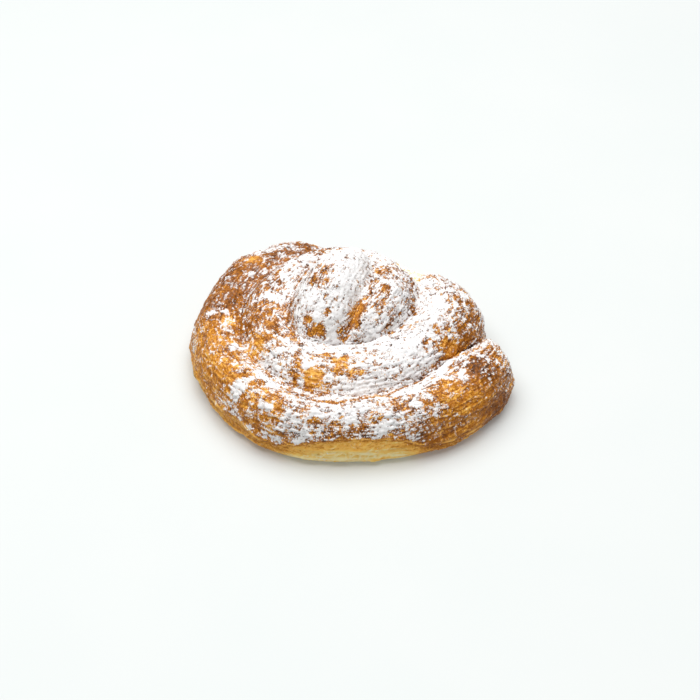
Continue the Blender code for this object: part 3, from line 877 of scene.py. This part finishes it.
def stirred(tree, base, *noises):
    """The base value with noises added, each with its cell in mm, detail, roughness, the place that
    it follows, and how strongly it counts."""
    for cell, detail, roughness, place, amount in noises:
        settings = {"Scale": per_mm(cell), "Detail": detail, "Roughness": roughness}
        noise = add_node(tree, "TexNoise", settings, {"Vector": place}).outputs["Fac"]
        scaled = {"operation": "MULTIPLY_ADD", 1: amount}
        base = add_node(tree, "Math", scaled, {0: noise, 2: base}).outputs[0]
    middle = sum(noise[-1] for noise in noises) / 2
    return add_node(tree, "Math", {"operation": "SUBTRACT", 1: middle}, {0: base}).outputs[0]


def stretched(tree, vector, times):
    """The rope's own coordinates, drawn out so many times along the rope."""
    scale = {"Scale": (1 / times, 1.0, 1.0)}
    return add_node(tree, "Mapping", scale, {"Vector": vector}).outputs["Vector"]


def attribute_of(tree, name, output="Fac"):
    return add_node(tree, "Attribute", {"attribute_name": name}).outputs[output]


def flake_edges_and_glints(tree, rope):
    """How much paler the thin edges of the flakes are, partly their own colour and partly a painted
    highlight: lines that wander along the rope.
    """
    wave = {"Scale": per_mm(3.0), "Detail": 1.0}
    line = add_node(tree, "TexNoise", wave, {"Vector": stretched(tree, rope, 7)}).outputs["Fac"]
    line = add_node(tree, "Math", {"operation": "SUBTRACT", 1: 0.5}, {0: line}).outputs[0]
    line = add_node(tree, "Math", {"operation": "ABSOLUTE"}, {0: line}).outputs[0]
    edge = dict(zip(ENDS, (0.0, 0.02, -0.14, 0.0)))
    return add_node(tree, "MapRange", edge, {"Value": line}).outputs["Result"]


def crust_tone(tree, here, rope):
    """How dark the crust is baked, with its painted shade and painted glints: mottled by blisters, streaks
    and specks, but calm where the dough is nearly raw, where no sugar reaches and where the sugar has
    melted in."""
    browning_and_shade = attribute_of(tree, "browning_and_shade")
    mottled = stirred(
        tree, browning_and_shade, (3.2, 4.0, 0.65, here, 0.7), (1.0, 3.0, 0.65, here, 1.2),
        (1.1, 3.0, 0.6, stretched(tree, rope, 6), 0.8), (0.5, 2.0, 0.7, here, 0.8),
    )
    unrest, sugared = (
        add_node(tree, "MapRange", dict(zip(ENDS, ends)), {"Value": value}).outputs["Result"]
        for ends, value in (
            ((0.15, 0.5, 0.08, 1.0), browning_and_shade),
            ((-0.8, -0.4, 0.5, 1.0), attribute_of(tree, "dusting")),
        )
    )
    for calmer in (sugared, attribute_of(tree, "keenness")):
        unrest = add_node(tree, "Math", {"operation": "MULTIPLY"}, {0: unrest, 1: calmer}).outputs[0]
    blend = {0: unrest, 2: browning_and_shade, 3: mottled}
    tone = add_node(tree, "Mix", {"data_type": "FLOAT"}, blend).outputs[0]
    # Paler lines on the flake edges, partly a painted highlight.
    paler = flake_edges_and_glints(tree, rope)
    return add_node(tree, "Math", {"operation": "ADD"}, {0: tone, 1: paler}).outputs[0]


def crust_colour(tree, here, rope):
    """Baked dough from raw to nearly burnt, with painted shade: greyer deep among the sugar, darker down in
    the cracks.
    """
    colour = fill_ramp(
        add_node(tree, "ValToRGB", None, {"Fac": crust_tone(tree, here, rope)}),
        (
            (0.00, "#FBE9B0"), (0.12, "#F8CF70"), (0.27, "#F4B650"), (0.42, "#C67F22"),
            (0.58, "#9C5C12"), (0.74, "#723F0E"), (0.88, "#4C2A0E"), (1.00, "#2C190C"),
        ),
    )
    # Painted shade, multiplied in: grey on crust seen deep among thick sugar, dark brown down in the
    # cracks.
    for name, ends, shade in (
        ("dusting", (-0.15, 0.35, 0.0, 0.75), "#A39A98"),
        ("hollow", (0.10, 0.60, 0.0, 0.6), "#7E5A40"),
    ):
        amount = {"Value": attribute_of(tree, name)}
        amount = add_node(tree, "MapRange", dict(zip(ENDS, ends)), amount).outputs["Result"]
        shaded = {"data_type": "RGBA", "blend_type": "MULTIPLY", 7: to_linear(shade)}
        colour = add_node(tree, "Mix", shaded, {0: amount, 6: colour}).outputs[2]
    return colour


def unpricked(tree, here, rope):
    """0 in the pinholes that prick the sugar here and there, and 1 between them."""
    pores = add_node(tree, "TexVoronoi", {"Scale": per_mm(1.7)}, {"Vector": stretched(tree, rope, 1.6)})
    groups = add_node(tree, "TexNoise", {"Scale": per_mm(4.5), "Detail": 1.0}, {"Vector": here})
    hole, grouped = (
        add_node(tree, "MapRange", dict(zip(ENDS, ends)), {"Value": value}).outputs["Result"]
        for ends, value in (
            ((0.12, 0.26, 1.0, 0.0), pores.outputs["Distance"]),
            ((0.45, 0.57, 0.0, 0.85), groups.outputs["Fac"]),
        )
    )
    pinholes = add_node(tree, "Math", {"operation": "MULTIPLY"}, {0: hole, 1: grouped}).outputs[0]
    return add_node(tree, "Math", {"operation": "SUBTRACT", 0: 1.0}, {1: pinholes}).outputs[0]


def sugar_film(tree, here, rope):
    """How much of the crust the sugar hides, 0 to 1: a speckle of grains, clumps, patches and
    streaks along the rope, evened out to a veil where the sugar has melted in."""
    dusting = attribute_of(tree, "dusting")
    speckled = stirred(
        tree, dusting, (0.55, 2.0, 0.6, here, 1.6), (1.2, 2.0, 0.6, here, 1.9),
        (2.8, 1.0, 0.5, here, 1.3), (0.9, 3.0, 0.6, stretched(tree, rope, 7), 1.2),
    )
    blend = {0: attribute_of(tree, "keenness"), 2: dusting, 3: speckled}
    excess = {"Value": add_node(tree, "Mix", {"data_type": "FLOAT"}, blend).outputs[0]}
    faint = dict(zip(ENDS, (-0.6, -0.1, 0.0, 0.07)))
    white = {"interpolation_type": "SMOOTHSTEP", **dict(zip(ENDS, (-0.22, 0.24, 0.0, 0.86)))}
    haze, speckle = (
        add_node(tree, "MapRange", ends, excess).outputs["Result"] for ends in (faint, white)
    )
    whole = add_node(tree, "Math", {"operation": "ADD"}, {0: haze, 1: speckle}).outputs[0]
    kept = unpricked(tree, here, rope)
    return add_node(tree, "Math", {"operation": "MULTIPLY"}, {0: whole, 1: kept}).outputs[0]


def sugar_white(tree, here):
    """Icing sugar's white, very slightly grey where it is packed unevenly."""
    patchy = {"Scale": per_mm(1.0), "Detail": 3.0, "Roughness": 0.7}
    patchy = add_node(tree, "TexNoise", patchy, {"Vector": here}).outputs["Fac"]
    return fill_ramp(
        add_node(tree, "ValToRGB", None, {"Fac": patchy}),
        ((0.28, "#D2CFD0"), (0.46, "#F3F2F2"), (0.60, "#FAFAFA")),
    )


def sugared(tree, here, rope, film):
    """The crust's colour, with sugar over it as far as the film hides it."""
    blend = {0: film, 6: crust_colour(tree, here, rope), 7: sugar_white(tree, here)}
    return add_node(tree, "Mix", {"data_type": "RGBA"}, blend).outputs[2]


def crust_material():
    """Laminated yeast dough, brushed with lard and baked: golden to brown, a little greasy, with the
    thinnest of the sugar caught on it as a film too fine to be a mesh."""
    material, tree, shader, here = new_material("lard-brushed laminated dough crust")
    rope = attribute_of(tree, "rope_place", "Vector")
    film = sugar_film(tree, here, rope)
    greasy = dict(zip(ENDS, (0.0, 1.0, 0.36, 0.9)))
    links = {
        "Base Color": sugared(tree, here, rope, film),
        "Roughness": add_node(tree, "MapRange", greasy, {"Value": film}).outputs["Result"],
    }
    flaky, blistered = (1.2, 0.6, stretched(tree, rope, 6), 0.4), (0.8, 0.65, here, 0.3)
    under = {}
    for cell, roughness, place, height in (flaky, blistered):
        settings = {"Scale": per_mm(cell), "Detail": 3.0, "Roughness": roughness}
        under["Height"] = add_node(tree, "TexNoise", settings, {"Vector": place}).outputs["Fac"]
        raised = {"Strength": 0.7, "Distance": height * MM}
        under["Normal"] = add_node(tree, "Bump", raised, under).outputs["Normal"]
    settings = {
        "Subsurface Weight": 0.05, "Subsurface Radius": (1.0, 0.4, 0.15),
        "Subsurface Scale": 0.8 * MM, "Specular IOR Level": 0.18, "Coat Weight": 0.05,
        "Coat Roughness": 0.3, "IOR": 1.45,
    }
    wire(tree, shader, settings, {**links, "Normal": under["Normal"]})
    return material


def finish_sugar(tree, shader, here, colour):
    """The dry, matt, slightly see-through surface that all of the sugar has."""
    grain = {"Scale": per_mm(0.5), "Detail": 2.0, "Roughness": 0.6}
    grain = add_node(tree, "TexNoise", grain, {"Vector": here}).outputs["Fac"]
    rough = {"Strength": 0.6, "Distance": 0.2 * MM}
    bump = add_node(tree, "Bump", rough, {"Height": grain}).outputs["Normal"]
    settings = {
        "Roughness": 0.9, "Subsurface Weight": 0.12, "Subsurface Radius": (1.0, 1.0, 1.0),
        "Subsurface Scale": 0.5 * MM, "Specular IOR Level": 0.2,
    }
    wire(tree, shader, settings, {"Base Color": colour, "Normal": bump})


def drift_material():
    """Icing sugar in sheets, ground to dust with a little starch: pure white and matt, with a fine
    uneven grain, and the brown of the crust showing through where the sheet is thin or pricked."""
    material, tree, shader, here = new_material("sifted icing sugar")
    rope = attribute_of(tree, "rope_place", "Vector")
    finish_sugar(tree, shader, here, sugared(tree, here, rope, sugar_film(tree, here, rope)))
    return material


def crumb_material():
    """Crumbs of icing sugar, packed a little harder than the sheets they lie on: matt white."""
    material, tree, shader, here = new_material("icing sugar crumbs")
    finish_sugar(tree, shader, here, sugar_white(tree, here))
    return material


def table_material():
    """Opal acrylic over a lamp box: near white with a trace of unevenness, and it glows a little."""
    material, tree, shader, here = new_material("opal acrylic light table")
    patchy = add_node(tree, "TexNoise", {"Scale": per_mm(60), "Detail": 2.0}, {"Vector": here})
    colour = fill_ramp(
        add_node(tree, "ValToRGB", None, {"Fac": patchy.outputs["Fac"]}),
        ((0.3, "#CBCFCE"), (0.7, "#CDD0CF")),
    )
    settings = {
        "Roughness": 0.6, "Specular IOR Level": 0.2, "Emission Color": to_linear("#FBFFFE"),
        "Emission Strength": 0.12,
    }
    wire(tree, shader, settings, {"Base Color": colour})
    return material


# ---- stage ----

CAMERA_ELEVATION, CAMERA_DISTANCE, CAMERA_LENS, SENSOR_WIDTH = 42.0, 620.0, 85.0, 36.0
CAMERA_TARGET = (0.0, -5.2, 12.5)
# Metres, watts, and the light from all round.
TABLE_SIZE, NEAREST_SEEN = 4.0, 0.01
SOFTBOX_PLACE, SOFTBOX_SIZE, SOFTBOX_POWER = (-0.10, 0.16, 1.3), 1.7, 27.5
ROOM_COLOUR, ROOM_LIGHT = "#FFFEFC", 0.27


def add_table():
    deselect_all()
    bpy.ops.mesh.primitive_plane_add(size=TABLE_SIZE)
    table = bpy.context.object
    table.name = "table"
    table.data.materials.append(table_material())


def add_camera():
    slope = np.radians(CAMERA_ELEVATION)
    back = Vector((0, -np.cos(slope), np.sin(slope)))
    camera = bpy.data.objects.new("camera", bpy.data.cameras.new("camera"))
    camera.location = (Vector(CAMERA_TARGET) + back * CAMERA_DISTANCE) * MM
    camera.rotation_euler = back.to_track_quat("Z", "Y").to_euler()
    camera.data.lens = CAMERA_LENS
    camera.data.sensor_width = SENSOR_WIDTH
    camera.data.clip_start = NEAREST_SEEN
    bpy.context.collection.objects.link(camera)
    bpy.context.scene.camera = camera


def add_softbox():
    light = bpy.data.lights.new("softbox", "AREA")
    light.shape, light.size, light.energy = "DISK", SOFTBOX_SIZE, SOFTBOX_POWER
    softbox = bpy.data.objects.new("softbox", light)
    softbox.location = SOFTBOX_PLACE
    softbox.rotation_euler = Vector(SOFTBOX_PLACE).to_track_quat("Z", "Y").to_euler()
    bpy.context.collection.objects.link(softbox)


def light_studio():
    world = bpy.data.worlds.new("pale room")
    world.use_nodes = True
    background = world.node_tree.nodes["Background"]
    background.inputs["Color"].default_value = to_linear(ROOM_COLOUR)
    background.inputs["Strength"].default_value = ROOM_LIGHT
    bpy.context.scene.world = world
    add_softbox()
    bpy.context.scene.view_settings.view_transform = "Standard"


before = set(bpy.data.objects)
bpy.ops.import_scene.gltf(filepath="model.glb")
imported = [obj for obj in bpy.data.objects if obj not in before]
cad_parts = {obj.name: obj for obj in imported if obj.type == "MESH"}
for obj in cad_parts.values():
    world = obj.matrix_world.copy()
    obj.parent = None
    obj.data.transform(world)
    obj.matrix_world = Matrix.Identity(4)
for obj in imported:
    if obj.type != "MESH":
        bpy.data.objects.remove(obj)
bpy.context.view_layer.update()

crust, skin, s, v, hollow = make_crust()
places, normals = places_of(crust.data), normals_of(crust.data)
detail = hollowness(skin, places, normals, DETAIL_STEPS)
cover = sugar_cover(places, normals, skin, hollow)
over = sugar_over(places, s, v, cover, detail)
looks = {
    "browning_and_shade": browning_and_shade_at(places, normals, detail),
    # Painted shade: this darkens the crust's colour in the cracks and small hollows.
    "hollow": np.clip(hollow * 1.2 + detail, -1, 1),
    "rope_place": np.column_stack([s, v, s * 0]) * MM,
    "dusting": film_over(cover, over),
    "keenness": 1 - MELTED_CALM * painted(0, sphere_layers(MELTED, places)),
}
for name, values in looks.items():
    set_attribute(crust.data, name, values)
drifts = make_drifts(crust, sugar_depth(places, over), looks)
scattered = np.clip(cover, 0, 1) * looks["keenness"]
near_edge = np.exp(-((over / SUGAR_EDGE) ** 2)) * (cover > 0.02) * looks["keenness"]
crumbs, flecks = (
    make_crumbs(name, crust, near_edge + SCATTERED * scattered + stray, count, *shape, seed)
    for name, count, *shape, stray, seed in LOOSE_SUGAR
)

crust.data.materials.clear()
crust.data.materials.append(crust_material())
drifts.data.materials.append(drift_material())
crumb_sugar = crumb_material()
for piece in (crumbs, flecks):
    piece.data.materials.append(crumb_sugar)
for piece in (crust, drifts, crumbs, flecks):
    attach(piece, "root")
for piece in (crust, drifts):
    select_only(piece)
    bpy.ops.object.shade_smooth()
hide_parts("ensaimada")

add_table()
add_camera()
light_studio()
